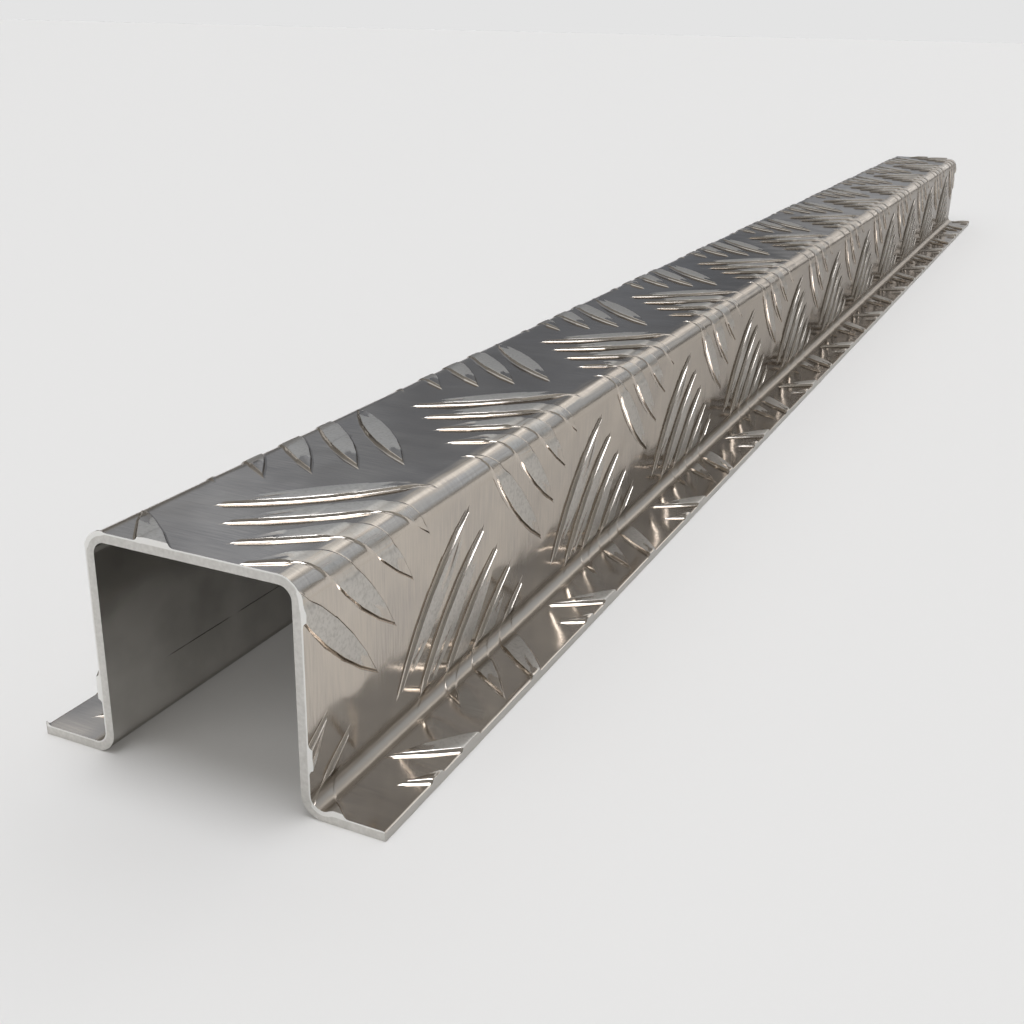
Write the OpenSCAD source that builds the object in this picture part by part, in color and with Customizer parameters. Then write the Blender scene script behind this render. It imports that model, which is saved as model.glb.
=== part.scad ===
// Top hat channel, folded from one strip of aluminium tread plate.
// Sizes are in millimetres, with +Z up and +Y along the length.
// The origin is on the floor, midway between the ends and the webs.

/* [Section] */
// Width of the crown, over the outer faces of the webs
crown_w = 35; // [25:0.5:60]
// Height from the undersides of the flanges to the crown's top face
height = 35; // [20:0.5:60]
// Reach of each flange beyond the outer face of its web
flange_reach = 11.5; // [8:0.5:30]

/* [Sheet] */
// Gauge of the plate, measured between its tread bars
sheet_t = 1.5; // [1:0.1:3]
// Radius on the inside of the two folds beside the crown
crown_fold_r = 2; // [0.8:0.1:4]
// Radius on the inside of the two folds at the feet of the webs
foot_fold_r = 2; // [0.8:0.1:4]

/* [Stock] */
// Length that the channel is cut to
length = 640; // [200:5:3000]

/* [Hidden] */
$fn = 64;
eps = 0.01;
// Radii on the outside of the folds
crown_out_r = crown_fold_r + sheet_t;
foot_out_r = foot_fold_r + sheet_t;
// Flat widths that are left between the folds
crown_flat = crown_w - 2 * crown_out_r;
web_flat = height - crown_out_r - foot_out_r;
flange_flat = flange_reach - foot_fold_r;
// Centres of the folds on the right-hand side
crown_fold_x = crown_w / 2 - crown_out_r;
crown_fold_z = height - crown_out_r;
foot_fold_x = crown_w / 2 + foot_fold_r;
foot_fold_z = foot_out_r;

// Quarter ring of sheet about the origin, from +X round to +Y.
module fold(in_r) {
    out_r = in_r + sheet_t;
    intersection() {
        difference() {
            circle(r = out_r);
            circle(r = in_r);
        }
        square(out_r + eps);
    }
}

// One side of the section: a fold, a web, a fold and a flange.
module side_strip() {
    translate([crown_fold_x, crown_fold_z])
        fold(crown_fold_r);
    translate([crown_w / 2 - sheet_t, foot_fold_z])
        square([sheet_t, web_flat]);
    translate([foot_fold_x, foot_fold_z])
        rotate(180)
            fold(foot_fold_r);
    translate([foot_fold_x, 0])
        square([flange_flat, sheet_t]);
}

// The whole folded strip, seen along its length.
module section() {
    translate([-crown_flat / 2, height - sheet_t])
        square([crown_flat, sheet_t]);
    side_strip();
    mirror([1, 0])
        side_strip();
}

// The section carried along the length, between two square-cut ends.
module top_hat_channel() {
    color("#b9b9b6")
        translate([0, length / 2, 0])
            rotate([90, 0, 0])
                linear_extrude(height = length)
                    section();
}

top_hat_channel();
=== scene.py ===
"""Looks of a top hat channel that is folded from one strip of aluminium five-bar tread plate.

The plate is modelled flat, with its bars standing on it, and is then cut to size and folded round the
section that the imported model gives. Lengths are in metres.
"""

import logging
import math
from dataclasses import dataclass
from enum import Enum

import bpy
import numpy as np
from mathutils import Matrix, Vector


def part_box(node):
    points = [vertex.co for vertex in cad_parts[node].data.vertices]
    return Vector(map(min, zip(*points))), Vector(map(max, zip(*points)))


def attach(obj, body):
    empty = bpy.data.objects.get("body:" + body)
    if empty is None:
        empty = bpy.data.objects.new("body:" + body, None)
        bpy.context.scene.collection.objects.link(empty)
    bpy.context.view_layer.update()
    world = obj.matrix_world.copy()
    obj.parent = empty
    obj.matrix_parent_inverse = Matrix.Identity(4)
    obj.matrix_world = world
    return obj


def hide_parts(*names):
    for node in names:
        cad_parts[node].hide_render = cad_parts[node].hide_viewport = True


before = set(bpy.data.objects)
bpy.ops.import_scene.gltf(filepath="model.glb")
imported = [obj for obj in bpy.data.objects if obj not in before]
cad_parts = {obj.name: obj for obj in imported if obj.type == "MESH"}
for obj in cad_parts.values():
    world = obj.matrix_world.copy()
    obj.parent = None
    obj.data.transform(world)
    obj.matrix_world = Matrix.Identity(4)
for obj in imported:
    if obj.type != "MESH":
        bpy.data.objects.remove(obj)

LOG = logging.getLogger("top_hat_channel")
MM = 0.001
CUT_TOLERANCE = 1e-6
TOUCH = 0.01 * MM
NODE = "top_hat_channel"


class Slant(Enum):
    """Ways that a group of bars lies on the flat plate, as a turn from the strip's width."""

    RISING = 45.0
    FALLING = -45.0


class Face(Enum):
    """Faces of the plate that have a finish of their own, by material slot."""

    ROLLED = 0
    SHEARED = 1


def linear(code: str) -> tuple[float, float, float, float]:
    """Turns an sRGB hex colour to linear light.

    Args:
        code: Colour such as "#c6bdb4".

    Returns:
        Red, green, blue and an alpha of one.
    """
    parts = [int(code[i:i + 2], 16) / 255 for i in (1, 3, 5)]
    light = [c / 12.92 if c <= 0.04045 else ((c + 0.055) / 1.055) ** 2.4 for c in parts]
    return (light[0], light[1], light[2], 1.0)


def add_node(tree: bpy.types.NodeTree, kind: str, settings: dict, links: dict) -> bpy.types.Node:
    """Adds one shader node.

    Args:
        tree: Node tree that it goes into.
        kind: Blender's name for the node type.
        settings: Values by name, for the node's own settings or for its input sockets.
        links: Output sockets by the name or number of the input that they feed.

    Returns:
        The new node.
    """
    made = tree.nodes.new(kind)
    for name, value in settings.items():
        if isinstance(name, str) and hasattr(made, name):
            setattr(made, name, value)
        else:
            made.inputs[name].default_value = value
    for name, source in links.items():
        tree.links.new(source, made.inputs[name])
    return made


def active_object() -> bpy.types.Object:
    """Gives the object that the operators act on."""
    return bpy.context.view_layer.objects.active


def start_alone(piece: bpy.types.Object) -> None:
    """Makes one piece the only selected and active one.

    Args:
        piece: The piece that the next operators act on.
    """
    bpy.ops.object.select_all(action="DESELECT")
    piece.select_set(True)
    bpy.context.view_layer.objects.active = piece


def apply_modifiers(piece: bpy.types.Object) -> None:
    """Applies every modifier of a piece, in order.

    Args:
        piece: The piece, which is left selected and active.
    """
    start_alone(piece)
    for modifier in list(piece.modifiers):
        bpy.ops.object.modifier_apply(modifier=modifier.name)


def add_repeat(piece: bpy.types.Object, name: str, count: int, step: tuple[float, float, float]) -> None:
    """Adds an array modifier with an even step.

    Args:
        piece: The piece that is repeated.
        name: Name of the modifier.
        count: How many there are in all.
        step: The way from one to the next.
    """
    repeat = piece.modifiers.new(name, "ARRAY")
    repeat.count = count
    repeat.use_relative_offset = False
    repeat.use_constant_offset = True
    repeat.constant_offset_displace = step


def slice_plate(where: Vector, normal: Vector, cut_away: bool) -> None:
    """Cuts the mesh in edit mode along a plane.

    Args:
        where: A point of the plane.
        normal: The plane's direction, towards what may be cut away.
        cut_away: True to remove that side and close the cut.
    """
    bpy.ops.mesh.select_all(action="SELECT")
    bpy.ops.mesh.bisect(
        plane_co=where, plane_no=normal, use_fill=cut_away, clear_outer=cut_away, threshold=CUT_TOLERANCE
    )


@dataclass(frozen=True)
class Section:
    """Sizes of the folded section, and the way that the flat strip goes round it."""

    width: float
    length: float
    height: float
    crown_w: float = 35 * MM
    sheet_t: float = 1.5 * MM
    crown_fold_r: float = 2 * MM
    foot_fold_r: float = 2 * MM
    neutral_share: float = 0.42
    fold_steps: int = 8
    run_in: tuple[float, ...] = (0.5 * MM, 1.0 * MM, 1.6 * MM)

    @classmethod
    def from_frame(cls, node: str) -> "Section":
        """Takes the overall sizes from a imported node.

        Args:
            node: Name of the node.

        Returns:
            The section with that node's width, length and height.
        """
        low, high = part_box(node)
        return cls(width=high.x - low.x, length=high.y - low.y, height=high.z - low.z)

    def taken_by(self, fold_r: float) -> float:
        """Gives the width of flat strip that a fold takes up, along the sheet's neutral line."""
        return math.pi / 2 * (fold_r + self.neutral_share * self.sheet_t)

    @property
    def stations(self) -> tuple[float, float, float, float, float]:
        """Places on the flat strip where its flats and folds end.

        Returns:
            The outer ends of the crown, its fold, the web, its foot fold and the flange, from the middle.
        """
        crown_out_r = self.crown_fold_r + self.sheet_t
        foot_out_r = self.foot_fold_r + self.sheet_t
        crown = self.crown_w / 2 - crown_out_r
        web_top = crown + self.taken_by(self.crown_fold_r)
        web_foot = web_top + self.height - crown_out_r - foot_out_r
        flange = web_foot + self.taken_by(self.foot_fold_r)
        tip = flange + (self.width - self.crown_w) / 2 - self.foot_fold_r
        return (crown, web_top, web_foot, flange, tip)

    @property
    def half_strip(self) -> float:
        """Half of the flat strip's width."""
        return self.stations[-1]

    def web_place(self, height: float) -> float:
        """Gives the place on the flat strip, from its middle, of a height on a web."""
        return self.stations[2] + self.foot_fold_r + self.sheet_t - height

    def fold_lines(self) -> list[float]:
        """Gives the places across the strip where the plate needs an edge to turn on.

        Returns:
            The places on one side, from the middle.
        """
        crown, web_top, web_foot, flange, _ = self.stations
        lines = []
        for start, end in ((crown, web_top), (web_foot, flange)):
            lines.extend(np.linspace(start, end, self.fold_steps + 1))
            for reach in self.run_in:
                lines.extend((start - reach, end + reach))
        return lines

    def folded(self, flat: np.ndarray) -> np.ndarray:
        """Carries points from the flat strip to the folded channel.

        Args:
            flat: Points as rows of place across, place along and height off the outer face.

        Returns:
            The same points in the row frame.
        """
        crown, web_top, web_foot, flange, _ = self.stations
        across, along, lift = np.abs(flat[:, 0]), flat[:, 1], flat[:, 2]
        side = np.where(flat[:, 0] < 0, -1.0, 1.0)
        web_x = self.crown_w / 2
        crown_out_r = self.crown_fold_r + self.sheet_t
        over = np.clip((across - crown) / (web_top - crown), 0, 1) * math.pi / 2
        under = np.clip((across - web_foot) / (flange - web_foot), 0, 1) * math.pi / 2
        crown_r, foot_r = crown_out_r + lift, self.foot_fold_r - lift
        x = np.select(
            [across <= crown, across <= web_foot],
            [across, web_x - crown_out_r + crown_r * np.sin(over)],
            web_x + self.foot_fold_r - foot_r * np.cos(under) + np.maximum(across - flange, 0),
        )
        z = np.select(
            [across <= web_top, across <= web_foot],
            [
                self.height - crown_out_r + crown_r * np.cos(over),
                self.height - crown_out_r - (across - web_top),
            ],
            self.foot_fold_r + self.sheet_t - foot_r * np.sin(under),
        )
        return np.column_stack([side * x, along, z])


@dataclass(frozen=True)
class Grid:
    """Even grid that the groups of one slant stand on: the first one's place, and the steps between them."""

    across: float
    along: float
    pitch_across: float
    pitch_along: float = 56.2 * MM


@dataclass(frozen=True)
class Tread:
    """Sizes of the rolled bars, and of the grids that their groups of five stand on."""

    bars: int = 5
    spacing: float = 7.26 * MM
    foot_length: float = 34.5 * MM
    foot_width: float = 5.1 * MM
    relief: float = 0.7 * MM
    root: float = 0.6 * MM
    tip_share: float = 0.7
    outline_points: int = 12
    rising: Grid = Grid(-43.6 * MM, 16.3 * MM, 58.0 * MM)
    falling: Grid = Grid(-70.8 * MM, -11.9 * MM, 56.4 * MM)
    rows: int = 3
    columns: int = 13
    # A bar's flank, from its foot to its domed top, as steps of (inset, height): it is hollow, steepest
    # just under the top's edge.
    flank: tuple[tuple[float, float], ...] = (
        (0.0 * MM, -0.03 * MM),
        (0.28 * MM, 0.05 * MM),
        (0.46 * MM, 0.186 * MM),
        (0.57 * MM, 0.393 * MM),
        (0.64 * MM, 0.595 * MM),
        (0.74 * MM, 0.65 * MM),
        (1.70 * MM, 0.70 * MM),
    )

    def shares(self, inset: float) -> tuple[float, float]:
        """Gives how much a bar's outline shrinks when it is set in evenly.

        Args:
            inset: Distance in from the foot's outline.

        Returns:
            The shares of the foot's length and width that are left.
        """
        tip_angle = math.atan(2 * self.foot_width / self.foot_length)
        return (1 - 2 * inset / math.sin(tip_angle) / self.foot_length, 1 - 2 * inset / self.foot_width)

    def model_bar(self) -> bpy.types.Object:
        """Models one bar along X: a pointed lens with a flat top and a root below the sheet's face.

        Returns:
            The bar, as a closed mesh.
        """
        bpy.ops.object.select_all(action="DESELECT")
        bpy.ops.mesh.primitive_circle_add(vertices=self.outline_points, radius=1.0, fill_type="NGON")
        bar = active_object()
        # The circle's points slide to two arcs that meet in the bar's pointed ends.
        for vertex in bar.data.vertices:
            turn = math.atan2(vertex.co.y, vertex.co.x)
            share = 1 - abs(turn) / (math.pi / 2)
            bulge = math.copysign(1 - share ** 2, turn)
            vertex.co = (self.foot_length / 2 * share, self.foot_width / 2 * bulge, -self.root)
        bpy.ops.object.mode_set(mode="EDIT")
        bpy.ops.mesh.select_all(action="SELECT")
        height, length, width = -self.root, 1.0, 1.0
        for inset, rise in self.flank:
            long_share, wide_share = self.shares(inset)
            bpy.ops.mesh.extrude_region_move(TRANSFORM_OT_translate={"value": (0, 0, rise - height)})
            bpy.ops.transform.resize(
                value=(long_share / length, wide_share / width, 1), center_override=(0, 0, 0)
            )
            height, length, width = rise, long_share, wide_share
        bpy.ops.mesh.select_all(action="SELECT")
        bpy.ops.mesh.normals_make_consistent(inside=False)
        bpy.ops.object.mode_set(mode="OBJECT")
        # The rolls leave a bar lower at its two points than along its middle.
        for vertex in bar.data.vertices:
            if abs(vertex.co.y) < TOUCH and vertex.co.z > 0:
                vertex.co.z *= self.tip_share
        return bar

    def lay_groups(self, slant: Slant, near_end: float) -> bpy.types.Object:
        """Lays every group of one slant on the flat strip.

        Args:
            slant: The way that the bars lie.
            near_end: Place along the strip of its near end.

        Returns:
            All the bars of that slant, as one mesh.
        """
        grid = self.rising if slant is Slant.RISING else self.falling
        groups = self.model_bar()
        add_repeat(groups, "five_bars", self.bars, (0, self.spacing, 0))
        apply_modifiers(groups)
        turn = Matrix.Rotation(math.radians(slant.value), 3, "Z")
        first_bar = turn @ Vector((0, -self.spacing * (self.bars - 1) / 2, 0))
        groups.location = Vector((grid.across, near_end + grid.along, 0)) + first_bar
        groups.rotation_euler = turn.to_euler()
        bpy.ops.object.transform_apply()
        add_repeat(groups, "rows", self.rows, (grid.pitch_across, 0, 0))
        add_repeat(groups, "columns", self.columns, (0, grid.pitch_along, 0))
        apply_modifiers(groups)
        return groups


@dataclass(frozen=True)
class Press:
    """What the folding tools do to the bars: they flatten them in the die, and most of all in the folds."""

    crown_nick: float = 7.75 * MM
    web_nick_height: float = 27.0 * MM
    nick_width: float = 0.3 * MM
    nick_share: float = 0.88
    bed_share: float = 0.9
    crown_fold_share: float = 0.35
    foot_fold_share: float = 0.18
    droop_width: float = 0.35 * MM
    droop: float = 0.12 * MM

    def bed(self, section: Section) -> tuple[float, float]:
        """Gives the strip that lay in the die for a fold of the crown, as places across the flat strip."""
        return (self.crown_nick, section.web_place(self.web_nick_height))

    def lines(self, section: Section) -> list[float]:
        """Gives the places where an edge is needed for the die's nicks and the sheared edge.

        Args:
            section: The folded section.

        Returns:
            The places on one side, from the middle of the flat strip.
        """
        nicks = [end + shift * self.nick_width for end in self.bed(section) for shift in (-1, 0, 1)]
        return nicks + [section.half_strip - self.droop_width]

    def droop_at(self, across: np.ndarray, section: Section) -> np.ndarray:
        """Gives how far the shear's blade drew the plate's outer face down.

        Args:
            across: Places across the flat strip.
            section: The folded section.

        Returns:
            The droop at each place.
        """
        into = np.abs(across) - (section.half_strip - self.droop_width)
        return self.droop * np.clip(into / self.droop_width, 0, 1)

    def share_left(self, across: np.ndarray, section: Section) -> np.ndarray:
        """Gives the share of the relief that is left of the bars.

        Args:
            across: Places across the flat strip.
            section: The folded section.

        Returns:
            The share at each place, up to one.
        """
        away = np.abs(across)
        low, high = self.bed(section)
        out = np.maximum(low - away, away - high) / self.nick_width
        share = np.interp(out, (-1, 0, 1), (self.bed_share, self.nick_share, 1.0))
        crown, web_top, web_foot, flange, _ = section.stations
        reach = section.run_in[-1]
        for start, end, least in (
            (crown, web_top, self.crown_fold_share),
            (web_foot, flange, self.foot_fold_share),
        ):
            out = np.clip(np.maximum(start - away, away - end) / reach, 0, 1)
            share = np.minimum(share, least + (1 - least) * (3 - 2 * out) * out ** 2)
        return share


@dataclass
class Coats:
    """Colour and roughness of a finish while it is built up, coat over coat, in a node tree."""

    tree: bpy.types.NodeTree
    colour: bpy.types.NodeSocket
    roughness: bpy.types.NodeSocket

    def lay(self, mask: bpy.types.NodeSocket, colour: str, roughness: float) -> None:
        """Lays one coat over those that are there.

        Args:
            mask: Where the coat shows, from none to one.
            colour: Its colour.
            roughness: Its roughness.
        """
        tint = {"data_type": "RGBA", 7: linear(colour)}
        self.colour = add_node(self.tree, "ShaderNodeMix", tint, {0: mask, 6: self.colour}).outputs[2]
        self.roughness = add_node(
            self.tree, "ShaderNodeMix", {3: roughness}, {0: mask, 2: self.roughness}
        ).outputs[0]

    def join(self, shader: bpy.types.Node) -> None:
        """Links the finished coats to a shader."""
        self.tree.links.new(self.colour, shader.inputs["Base Color"])
        self.tree.links.new(self.roughness, shader.inputs["Roughness"])


@dataclass(frozen=True)
class RolledAluminium:
    """Mill-finish aluminium, bright from the rolls: it mirrors what is near it, a little blurred."""

    relief: float
    sheet_t: float
    die_line: float
    stations: tuple[float, ...]
    colour: str = "#cec5ba"
    dull_colour: str = "#bbb4ad"
    top_colour: str = "#cbc7c1"
    top_speck: str = "#b9b5af"
    fold_colour: str = "#c6bdb2"
    foot_colour: str = "#b6ada2"
    inner_colour: str = "#d3d1cd"
    inner_dull: str = "#bab8b4"
    edge_tint: str = "#bebcba"
    roughness: float = 0.1
    dull_roughness: float = 0.18
    top_roughness: float = 0.36
    speck_roughness: float = 0.42
    fold_roughness: float = 0.27
    foot_roughness: float = 0.28
    fold_clear: float = 0.35
    foot_clear: float = 0.0
    inner_roughness: float = 0.16
    inner_dull_roughness: float = 0.26
    fold_fade: float = 0.8 * MM
    # The rolls' grain, the tools' streaks and the specks are finer than this on real plate, and are drawn as
    # coarse as they need to show.
    streak_width: float = 0.4 * MM
    streak_length: float = 14 * MM
    grain_width: float = 0.4 * MM
    grain_length: float = 6 * MM
    cloud_size: float = 16 * MM
    speck_size: float = 0.5 * MM
    wave_size: float = 11 * MM
    wave_height: float = 0.24 * MM
    die_line_width: float = 0.16 * MM
    die_line_depth: float = 0.06 * MM
    # Where each pattern starts to show and shows in full: shares of the relief or the gauge, or noise values.
    top_shares: tuple[float, float] = (0.84, 0.92)
    slack_shares: tuple[float, float] = (0.02, 0.1)
    inner_shares: tuple[float, float] = (-0.8, -0.9)
    grain_range: tuple[float, float] = (0.15, 0.4)
    speck_range: tuple[float, float] = (0.45, 0.7)
    smudge_range: tuple[float, float] = (0.4, 0.65)
    worn_range: tuple[float, float] = (0.42, 0.58)
    streak_spread: float = 0.3
    bar_slack: float = 0.3
    worn_strength: float = 0.9

    def material(self) -> bpy.types.Material:
        """Builds the material from the flat strip's own coordinates, so that its grain runs round the folds.

        Returns:
            The material.
        """
        # Rolled and left bare, so the eye sees a soft, warm grey mirror with faint grain and dull patches.
        made = bpy.data.materials.new("rolled_mill_aluminium")
        made.use_nodes = True
        tree = made.node_tree
        shader = tree.nodes["Principled BSDF"]
        shader.inputs["Metallic"].default_value = 1.0
        shader.inputs["Specular Tint"].default_value = linear(self.edge_tint)
        strip = add_node(tree, "ShaderNodeAttribute", {"attribute_name": "strip"}, {}).outputs["Vector"]
        place = add_node(tree, "ShaderNodeSeparateXYZ", {}, {0: strip})
        lift = place.outputs["Z"]
        away = add_node(
            tree, "ShaderNodeMath", {"operation": "ABSOLUTE"}, {0: place.outputs["X"]}
        ).outputs[0]
        cloud = add_node(
            tree, "ShaderNodeTexNoise", {"Scale": 1 / self.cloud_size, "Detail": 5.0}, {"Vector": strip}
        ).outputs[0]
        inner = add_node(
            tree,
            "ShaderNodeMapRange",
            {
                "From Min": self.inner_shares[0] * self.sheet_t,
                "From Max": self.inner_shares[1] * self.sheet_t,
            },
            {"Value": lift},
        ).outputs[0]
        coats = self.plate_coats(tree, strip, cloud)
        self.lay_tops(coats, strip, lift)
        crown, web_top, web_foot, flange, _ = self.stations
        self.lay_fold(
            coats, strip, away, (crown, web_top), self.fold_clear, self.fold_colour, self.fold_roughness
        )
        self.lay_fold(
            coats, strip, away, (web_foot, flange), self.foot_clear, self.foot_colour, self.foot_roughness
        )
        # The plain inner face is greyer, and cloudy from handling.
        coats.lay(inner, self.inner_colour, self.inner_roughness)
        smudge = add_node(
            tree,
            "ShaderNodeMapRange",
            {"From Min": self.smudge_range[0], "From Max": self.smudge_range[1]},
            {"Value": cloud},
        )
        smudged = add_node(
            tree, "ShaderNodeMath", {"operation": "MULTIPLY"}, {0: smudge.outputs[0], 1: inner}
        )
        coats.lay(smudged.outputs[0], self.inner_dull, self.inner_dull_roughness)
        coats.join(shader)
        tree.links.new(self.unevenness(tree, strip, away, lift, cloud, inner), shader.inputs["Normal"])
        return made

    def plate_coats(
        self, tree: bpy.types.NodeTree, strip: bpy.types.NodeSocket, cloud: bpy.types.NodeSocket
    ) -> Coats:
        """Gives the sheet's own finish: faint grain across the strip, in cloudy patches that are less bright.

        Args:
            tree: The material's node tree.
            strip: Places on the flat strip.
            cloud: The patches.

        Returns:
            The first coat.
        """
        stretched = add_node(
            tree,
            "ShaderNodeMapping",
            {"Scale": (1 / self.grain_length, 1 / self.grain_width, 1 / self.grain_width)},
            {"Vector": strip},
        )
        grain = add_node(
            tree, "ShaderNodeTexNoise", {"Scale": 1.0, "Detail": 3.0}, {"Vector": stretched.outputs[0]}
        )
        patchy = add_node(
            tree, "ShaderNodeMath", {"operation": "MULTIPLY"}, {0: grain.outputs[0], 1: cloud}
        )
        dull = add_node(
            tree,
            "ShaderNodeMapRange",
            {"From Min": self.grain_range[0], "From Max": self.grain_range[1]},
            {"Value": patchy.outputs[0]},
        )
        base = add_node(
            tree,
            "ShaderNodeMix",
            {"data_type": "RGBA", 6: linear(self.colour), 7: linear(self.dull_colour)},
            {0: dull.outputs[0]},
        )
        rough = add_node(
            tree,
            "ShaderNodeMapRange",
            {"To Min": self.roughness, "To Max": self.dull_roughness},
            {"Value": dull.outputs[0]},
        )
        return Coats(tree, base.outputs[2], rough.outputs[0])

    def lay_tops(self, coats: Coats, strip: bpy.types.NodeSocket, lift: bpy.types.NodeSocket) -> None:
        """Lays the bars' tops, which the rolls leave duller than the sheet, with dark specks.

        Args:
            coats: The finish so far.
            strip: Places on the flat strip.
            lift: Height off the sheet's face.
        """
        top = add_node(
            coats.tree,
            "ShaderNodeMapRange",
            {"From Min": self.top_shares[0] * self.relief, "From Max": self.top_shares[1] * self.relief},
            {"Value": lift},
        ).outputs[0]
        coats.lay(top, self.top_colour, self.top_roughness)
        speck = add_node(
            coats.tree, "ShaderNodeTexNoise", {"Scale": 1 / self.speck_size, "Detail": 4.0}, {"Vector": strip}
        )
        spots = add_node(
            coats.tree,
            "ShaderNodeMapRange",
            {"From Min": self.speck_range[0], "From Max": self.speck_range[1]},
            {"Value": speck.outputs[0]},
        )
        specked = add_node(
            coats.tree, "ShaderNodeMath", {"operation": "MULTIPLY"}, {0: spots.outputs[0], 1: top}
        )
        coats.lay(specked.outputs[0], self.top_speck, self.speck_roughness)

    def lay_fold(
        self,
        coats: Coats,
        strip: bpy.types.NodeSocket,
        away: bpy.types.NodeSocket,
        ends: tuple[float, float],
        clear: float,
        colour: str,
        roughness: float,
    ) -> None:
        """Lays the folds of one kind, where the tools' rubbing leaves dull streaks along the skin.

        Args:
            coats: The finish so far.
            strip: Places on the flat strip.
            away: Distance across the flat strip, from its middle.
            ends: Where the fold starts and ends across the flat strip.
            clear: Share of the skin between the streaks that stays bright, about.
            colour: Colour of the streaks.
            roughness: Their roughness.
        """
        start, end = ends
        off = add_node(
            coats.tree, "ShaderNodeMath", {"operation": "SUBTRACT", 1: (start + end) / 2}, {0: away}
        )
        gap = add_node(coats.tree, "ShaderNodeMath", {"operation": "ABSOLUTE"}, {0: off.outputs[0]})
        half = (end - start) / 2
        rubbed = add_node(
            coats.tree,
            "ShaderNodeMapRange",
            {"From Min": half + self.fold_fade, "From Max": half},
            {"Value": gap.outputs[0]},
        )
        drawn = add_node(
            coats.tree,
            "ShaderNodeMapping",
            {"Scale": (1 / self.streak_width, 1 / self.streak_length, 1 / self.streak_width)},
            {"Vector": strip},
        )
        streak = add_node(
            coats.tree, "ShaderNodeTexNoise", {"Scale": 1.0, "Detail": 3.0}, {"Vector": drawn.outputs[0]}
        )
        dull = add_node(
            coats.tree,
            "ShaderNodeMapRange",
            {"From Min": clear, "From Max": clear + self.streak_spread},
            {"Value": streak.outputs[0]},
        )
        scuffed = add_node(
            coats.tree,
            "ShaderNodeMath",
            {"operation": "MULTIPLY"},
            {0: dull.outputs[0], 1: rubbed.outputs[0]},
        )
        coats.lay(scuffed.outputs[0], colour, roughness)

    def unevenness(
        self,
        tree: bpy.types.NodeTree,
        strip: bpy.types.NodeSocket,
        away: bpy.types.NodeSocket,
        lift: bpy.types.NodeSocket,
        cloud: bpy.types.NodeSocket,
        inner: bpy.types.NodeSocket,
    ) -> bpy.types.NodeSocket:
        """Makes slow waves in the sheet and, on its inner face, the worn line where a die's edge bore.

        Args:
            tree: The material's node tree.
            strip: Places on the flat strip.
            away: Distance across the flat strip, from its middle.
            lift: Height off the sheet's face.
            cloud: Patches, which leave the line broken.
            inner: Where the inner face is.

        Returns:
            The uneven normal.
        """
        wave = add_node(
            tree, "ShaderNodeTexNoise", {"Scale": 1 / self.wave_size, "Detail": 1.0}, {"Vector": strip}
        )
        slack = add_node(
            tree,
            "ShaderNodeMapRange",
            {
                "From Min": self.slack_shares[0] * self.relief,
                "From Max": self.slack_shares[1] * self.relief,
                "To Min": 1.0,
                "To Max": self.bar_slack,
            },
            {"Value": lift},
        )
        waves = add_node(
            tree,
            "ShaderNodeBump",
            {"Distance": self.wave_height},
            {"Height": wave.outputs[0], "Strength": slack.outputs[0]},
        )
        off = add_node(tree, "ShaderNodeMath", {"operation": "SUBTRACT", 1: self.die_line}, {0: away})
        gap = add_node(tree, "ShaderNodeMath", {"operation": "ABSOLUTE"}, {0: off.outputs[0]})
        line = add_node(
            tree,
            "ShaderNodeMapRange",
            {"From Max": self.die_line_width},
            {"Value": gap.outputs[0]},
        )
        worn = add_node(
            tree,
            "ShaderNodeMapRange",
            {
                "From Min": self.worn_range[0],
                "From Max": self.worn_range[1],
                "To Max": self.worn_strength,
            },
            {"Value": cloud},
        )
        faint = add_node(
            tree, "ShaderNodeMath", {"operation": "MULTIPLY"}, {0: worn.outputs[0], 1: inner}
        )
        groove = add_node(
            tree,
            "ShaderNodeBump",
            {"Distance": self.die_line_depth},
            {"Height": line.outputs[0], "Strength": faint.outputs[0], "Normal": waves.outputs[0]},
        )
        return groove.outputs[0]


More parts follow.
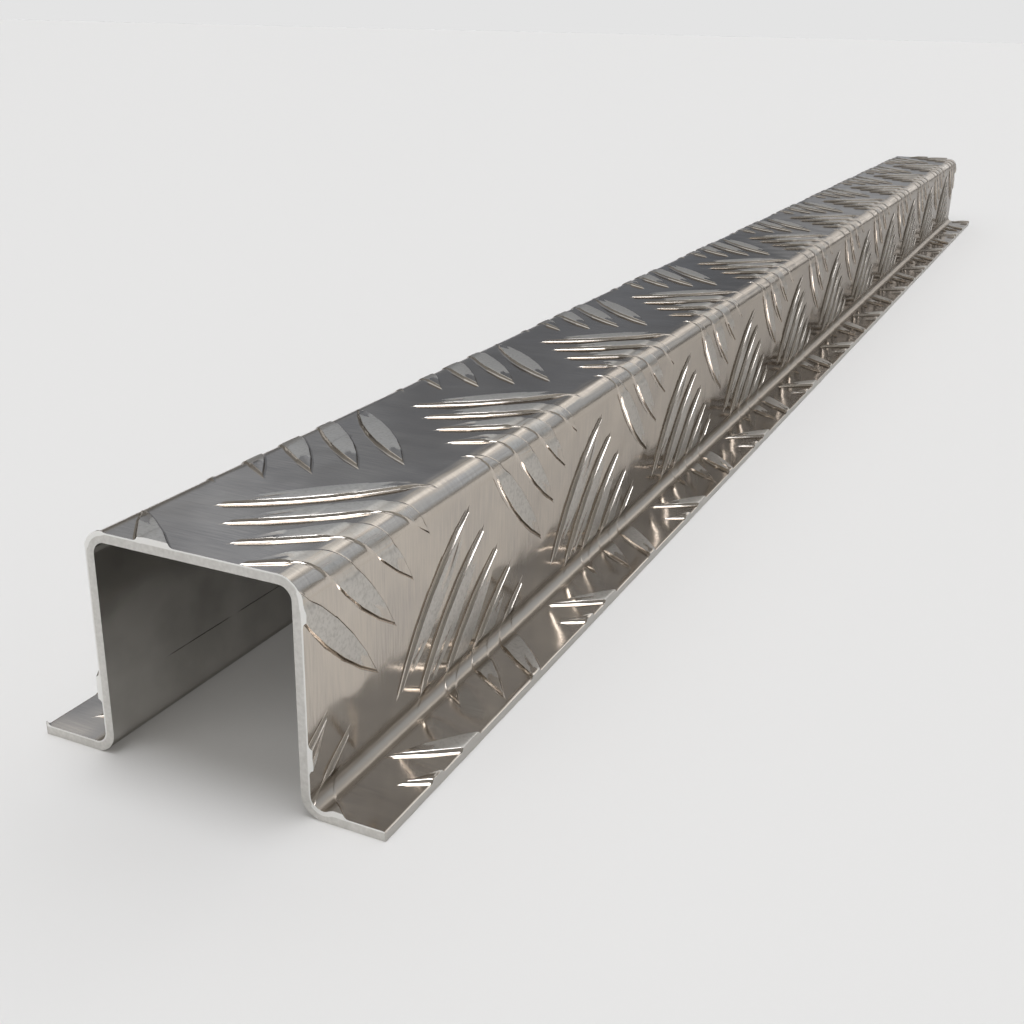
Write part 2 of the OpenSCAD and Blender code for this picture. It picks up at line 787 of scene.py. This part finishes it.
@dataclass(frozen=True)
class ShearedAluminium:
    """Sheared aluminium: a burnished lip where the blade went in, brightened by a painted rim highlight, over
    a paler, nearly matte torn face.
    """

    sheet_t: float
    half_strip: float
    # The lip's pale colour is partly the shear's burnish and partly a painted highlight where the rounded rim
    # would catch the light.
    lip_and_rim_highlight_colour: str = "#eeedea"
    torn_colour: str = "#e6e4e0"
    torn_dark: str = "#c6c4bf"
    long_edge_colour: str = "#bfbcb7"
    lip_roughness: float = 0.3
    torn_roughness: float = 0.5
    torn_spread: float = 0.1
    lip_and_highlight_share: float = 0.2
    tear_size: float = 0.6 * MM
    edge_depth: float = 0.2 * MM

    def material(self) -> bpy.types.Material:
        """Builds the material of the cut ends and edges.

        Returns:
            The material.
        """
        # Torn by the shear, so the eye sees a pale, grainy and nearly even band with a brighter lip; the
        # lip's brightness is partly a painted highlight of the rounded rim.
        made = bpy.data.materials.new("sheared_aluminium")
        made.use_nodes = True
        tree = made.node_tree
        shader = tree.nodes["Principled BSDF"]
        shader.inputs["Metallic"].default_value = 1.0
        strip = add_node(tree, "ShaderNodeAttribute", {"attribute_name": "strip"}, {}).outputs["Vector"]
        place = add_node(tree, "ShaderNodeSeparateXYZ", {}, {0: strip})
        tear = add_node(
            tree, "ShaderNodeTexNoise", {"Scale": 1 / self.tear_size, "Detail": 3.0}, {"Vector": strip}
        )
        torn = add_node(
            tree,
            "ShaderNodeMix",
            {"data_type": "RGBA", 6: linear(self.torn_colour), 7: linear(self.torn_dark)},
            {0: tear.outputs[0]},
        )
        rough = add_node(
            tree,
            "ShaderNodeMapRange",
            {
                "To Min": (1 - self.torn_spread) * self.torn_roughness,
                "To Max": (1 + self.torn_spread) * self.torn_roughness,
            },
            {"Value": tear.outputs[0]},
        )
        coats = Coats(tree, torn.outputs[2], rough.outputs[0])
        # The lip coat: the shear's burnished zone, with a painted highlight of the rim in its colour.
        lip_and_highlight = add_node(
            tree,
            "ShaderNodeMapRange",
            {"From Min": -self.lip_and_highlight_share * self.sheet_t, "From Max": -0.5 * self.lip_and_highlight_share * self.sheet_t},
            {"Value": place.outputs["Z"]},
        )
        coats.lay(lip_and_highlight.outputs[0], self.lip_and_rim_highlight_colour, self.lip_roughness)
        # The strip's long edges are greyer than its ends.
        away = add_node(tree, "ShaderNodeMath", {"operation": "ABSOLUTE"}, {0: place.outputs["X"]})
        long_edge = add_node(
            tree,
            "ShaderNodeMapRange",
            {
                "From Min": self.half_strip - self.edge_depth,
                "From Max": self.half_strip - self.edge_depth / 2,
            },
            {"Value": away.outputs[0]},
        )
        coats.lay(long_edge.outputs[0], self.long_edge_colour, self.torn_roughness)
        coats.join(shader)
        return made


@dataclass
class TreadPlateChannel:
    """The whole channel: one strip of tread plate, cut to size and folded four times."""

    section: Section
    tread: Tread = Tread()
    press: Press = Press()
    die_line_height: float = 10.25 * MM
    margin: float = 2 * MM
    smooth_angle: float = 23.0
    normal_weight: int = 50
    square_on: float = 0.99

    def build(self) -> bpy.types.Object:
        """Models the channel from the flat strip.

        Returns:
            The folded channel, in its place.
        """
        plate = self.roll_plate()
        self.cut_to_size(plate)
        self.note_cut_faces(plate)
        self.crease(plate)
        self.press_and_fold(plate)
        return plate

    def roll_plate(self) -> bpy.types.Object:
        """Makes the flat plate, a little too large, with its bars grown out of its outer face.

        Returns:
            The plate, with its outer face at height zero.
        """
        near_end = -self.section.length / 2
        bars = [self.tread.lay_groups(slant, near_end) for slant in Slant]
        bpy.ops.object.select_all(action="DESELECT")
        bpy.ops.mesh.primitive_cube_add(
            size=1.0,
            location=(0, 0, -self.section.sheet_t / 2),
            scale=(
                2 * (self.section.half_strip + self.margin),
                self.section.length + 2 * self.margin,
                self.section.sheet_t,
            ),
        )
        bpy.ops.object.transform_apply()
        plate = active_object()
        plate.name = "tread_plate_channel"
        for group in bars:
            union = plate.modifiers.new("grow_bars", "BOOLEAN")
            union.operation = "UNION"
            union.solver = "MANIFOLD"
            union.object = group
        apply_modifiers(plate)
        for group in bars:
            bpy.data.objects.remove(group)
        return plate

    def cut_to_size(self, plate: bpy.types.Object) -> None:
        """Shears the plate to the strip's width and length.

        Args:
            plate: The flat plate.
        """
        start_alone(plate)
        bpy.ops.object.mode_set(mode="EDIT")
        for way in (-1, 1):
            slice_plate(Vector((way * self.section.half_strip, 0, 0)), Vector((way, 0, 0)), True)
            slice_plate(Vector((0, way * self.section.length / 2, 0)), Vector((0, way, 0)), True)
        bpy.ops.object.mode_set(mode="OBJECT")

    def note_cut_faces(self, plate: bpy.types.Object) -> None:
        """Gives the sheared ends and edges their own material slot.

        Args:
            plate: The flat plate, cut to size.
        """
        section = self.section
        rolled = RolledAluminium(
            self.tread.relief, section.sheet_t, section.web_place(self.die_line_height), section.stations
        )
        plate.data.materials.clear()
        for finish in (rolled, ShearedAluminium(section.sheet_t, section.half_strip)):
            plate.data.materials.append(finish.material())
        for face in plate.data.polygons:
            across = self.is_cut(face.normal.x, face.center.x, section.half_strip)
            along = self.is_cut(face.normal.y, face.center.y, section.length / 2)
            face.material_index = (Face.SHEARED if across or along else Face.ROLLED).value

    def is_cut(self, turn: float, place: float, end: float) -> bool:
        """Tells whether a face lies on a sheared end, from its turn and its place along one axis."""
        return abs(turn) > self.square_on and abs(abs(place) - end) < TOUCH

    def crease(self, plate: bpy.types.Object) -> None:
        """Adds the edges that the folds and the press marks need.

        Args:
            plate: The flat plate, cut to size.
        """
        one_side = self.section.fold_lines() + self.press.lines(self.section)
        lines = [way * line for line in one_side for way in (-1, 1)]
        start_alone(plate)
        bpy.ops.object.mode_set(mode="EDIT")
        for line in lines:
            slice_plate(Vector((line, 0, 0)), Vector((1, 0, 0)), False)
        bpy.ops.object.mode_set(mode="OBJECT")

    def press_and_fold(self, plate: bpy.types.Object) -> None:
        """Keeps the flat places for the finishes, presses the die's marks and folds the plate.

        Args:
            plate: The flat plate, with its creases.
        """
        mesh = plate.data
        flat = np.zeros(len(mesh.vertices) * 3)
        mesh.vertices.foreach_get("co", flat)
        flat = flat.reshape(-1, 3)
        kept = mesh.attributes.new("strip", "FLOAT_VECTOR", "POINT")
        kept.data.foreach_set("vector", flat.ravel())
        raised = flat[:, 2] > 0
        flat[raised, 2] *= self.press.share_left(flat[raised, 0], self.section)
        outer = flat[:, 2] > -self.section.sheet_t / 2
        flat[outer, 2] -= self.press.droop_at(flat[outer, 0], self.section)
        mesh.vertices.foreach_set("co", self.section.folded(flat).ravel())
        mesh.update()
        start_alone(plate)
        bpy.ops.object.shade_smooth_by_angle(angle=math.radians(self.smooth_angle))
        even = plate.modifiers.new("even_normals", "WEIGHTED_NORMAL")
        even.keep_sharp = True
        even.weight = self.normal_weight
        apply_modifiers(plate)

    def dress(self, plate: bpy.types.Object) -> None:
        """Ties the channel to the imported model.

        Args:
            plate: The folded channel.
        """
        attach(plate, "root")
        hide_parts(NODE)


@dataclass(frozen=True)
class Panel:
    """One soft-edged area of the studio, bright or dark, as the channel mirrors it. Angles are in degrees."""

    azimuth: float
    elevation: float
    half_width: float
    half_height: float
    colour: str
    gain: float = 1.0
    core: float = 0.5
    # Depth of the panel's own space along the line of sight, so large that only the two angles count.
    reach: float = 1e6

    def hang(
        self, tree: bpy.types.NodeTree, way: bpy.types.NodeSocket, sky: bpy.types.NodeSocket
    ) -> bpy.types.NodeSocket:
        """Lays the panel over the sky.

        Args:
            tree: The world's node tree.
            way: The direction of sight.
            sky: The colour without the panel.

        Returns:
            The colour with the panel.
        """
        wide, high = math.sin(math.radians(self.half_width)), math.sin(math.radians(self.half_height))
        turned = add_node(
            tree,
            "ShaderNodeMapping",
            {
                "vector_type": "TEXTURE",
                "Rotation": (math.radians(self.elevation), 0, -math.radians(self.azimuth)),
                "Scale": (wide, self.reach, high),
            },
            {"Vector": way},
        )
        off = add_node(tree, "ShaderNodeVectorMath", {"operation": "LENGTH"}, {0: turned.outputs[0]})
        mask = add_node(
            tree,
            "ShaderNodeMapRange",
            {
                "interpolation_type": "SMOOTHSTEP",
                "From Min": self.core,
                "From Max": 1.0,
                "To Min": 1.0,
                "To Max": 0.0,
            },
            {"Value": off.outputs["Value"]},
        )
        shade = [channel * self.gain for channel in linear(self.colour)[:3]] + [1.0]
        laid = add_node(
            tree, "ShaderNodeMix", {"data_type": "RGBA", 7: shade}, {0: mask.outputs[0], 6: sky}
        )
        return laid.outputs[2]


@dataclass(frozen=True)
class Studio:
    """Pale floor, soft light from above and the camera at the photograph's place."""

    floor_colour: str = "#dcdad7"
    # Painted glow of the floor itself, which lifts the shadows on it and inside the channel's hollow.
    floor_glow: float = 0.1
    floor_roughness: float = 0.9
    floor_gloss: float = 0.1
    floor_size: float = 60.0
    backdrop: str = "#e4e4e4"
    low_wall: str = "#939290"
    wall: str = "#8b8a87"
    wall_streaks: float = 0.8
    streak_scale: float = 9.0
    # A lamp overhead and a fill behind the camera, and then what each face of the channel mirrors: a side
    # wall, two ceiling panels, the far walls and the pale gaps between them.
    panels: tuple[Panel, ...] = (
        Panel(50, 86, 18, 18, "#f6f9ff", 8.9, 0.65),
        Panel(-155, 45, 28, 25, "#ffffff", 1.5),
        Panel(88, 24, 26, 20, "#b4b2ae"),
        Panel(38, 52, 18, 9, "#fbfcff", 1.3),
        Panel(-35, 43, 40, 16, "#fafdff", 1.1),
        Panel(-22, 12, 26, 20, "#949ba6"),
        Panel(-38, 25, 15, 12, "#b4bcc8"),
        Panel(-6, 6, 12, 8, "#bec2c8"),
        Panel(27, 23, 24, 22, "#ccd4de"),
        Panel(8, 7, 10, 6, "#ffffff", 1.9),
        Panel(2, 26, 12, 34, "#ffffff", 1.5, 0.3),
    )
    camera_place: tuple[float, float, float] = (99.66 * MM, -435.43 * MM, 98.82 * MM)
    heading: float = 24.93
    tilt_down: float = 21.32
    roll: float = 1.26
    focal_length: float = 43.67

    def build(self) -> None:
        """Sets up the floor, the light and the camera."""
        bpy.context.scene.view_settings.view_transform = "Standard"
        self.lay_floor()
        self.light()
        self.place_camera()

    def lay_floor(self) -> None:
        """Lays the floor that the channel stands on."""
        bpy.ops.object.select_all(action="DESELECT")
        bpy.ops.mesh.primitive_plane_add(size=self.floor_size)
        floor = active_object()
        floor.name = "floor"
        # Matte backdrop paper with a faint painted glow that lifts its shadows, so the eye sees an even
        # ground with soft shadows.
        made = bpy.data.materials.new("pale_paper_with_painted_glow")
        made.use_nodes = True
        shader = made.node_tree.nodes["Principled BSDF"]
        shader.inputs["Base Color"].default_value = linear(self.floor_colour)
        shader.inputs["Roughness"].default_value = self.floor_roughness
        shader.inputs["Specular IOR Level"].default_value = self.floor_gloss
        # A faint painted glow in the floor's own colour, which lifts its shadows and lights the hollow.
        shader.inputs["Emission Color"].default_value = linear(self.floor_colour)
        shader.inputs["Emission Strength"].default_value = self.floor_glow
        floor.data.materials.append(made)

    def light(self) -> None:
        """Makes the dome of walls, ceiling and panels, which is plain where the camera sees it."""
        world = bpy.data.worlds.new("studio")
        bpy.context.scene.world = world
        world.use_nodes = True
        tree = world.node_tree
        tree.nodes.clear()
        way = add_node(tree, "ShaderNodeTexCoord", {}, {}).outputs["Generated"]
        rise = add_node(tree, "ShaderNodeSeparateXYZ", {}, {0: way}).outputs["Z"]
        streaks = add_node(
            tree, "ShaderNodeTexNoise", {"Scale": self.streak_scale, "Detail": 2.0}, {"Vector": way}
        )
        uneven = add_node(
            tree,
            "ShaderNodeMapRange",
            {"To Min": 1 - self.wall_streaks, "To Max": 1 + self.wall_streaks},
            {"Value": streaks.outputs[0]},
        )
        sky = add_node(
            tree,
            "ShaderNodeMix",
            {"data_type": "RGBA", 6: linear(self.low_wall), 7: linear(self.wall)},
            {0: rise},
        ).outputs[2]
        for panel in self.panels:
            sky = panel.hang(tree, way, sky)
        dome = add_node(
            tree,
            "ShaderNodeBackground",
            {},
            {"Color": sky, "Strength": uneven.outputs[0]},
        )
        plain = add_node(tree, "ShaderNodeBackground", {"Color": linear(self.backdrop)}, {})
        path = add_node(tree, "ShaderNodeLightPath", {}, {})
        mixed = add_node(
            tree,
            "ShaderNodeMixShader",
            {},
            {0: path.outputs["Is Camera Ray"], 1: dome.outputs[0], 2: plain.outputs[0]},
        )
        add_node(tree, "ShaderNodeOutputWorld", {}, {"Surface": mixed.outputs[0]})

    def place_camera(self) -> None:
        """Puts the camera where the photograph was taken from."""
        camera = bpy.data.objects.new("camera", bpy.data.cameras.new("camera"))
        bpy.context.scene.collection.objects.link(camera)
        camera.data.lens = self.focal_length
        camera.data.clip_start = 1 * MM
        camera.matrix_world = (
            Matrix.Translation(self.camera_place)
            @ Matrix.Rotation(math.radians(self.heading), 4, "Z")
            @ Matrix.Rotation(math.radians(90 - self.tilt_down), 4, "X")
            @ Matrix.Rotation(math.radians(self.roll), 4, "Z")
        )
        bpy.context.scene.camera = camera


def main() -> None:
    """Builds the channel and its studio, and logs how many faces the channel has."""
    logging.basicConfig(level=logging.INFO, format="%(name)s: %(message)s")
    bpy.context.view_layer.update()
    channel = TreadPlateChannel(Section.from_frame(NODE))
    plate = channel.build()
    channel.dress(plate)
    LOG.info("%s has %d faces", plate.name, len(plate.data.polygons))
    Studio().build()
    LOG.info("the studio is set up")


if __name__ == "__main__":
    main()
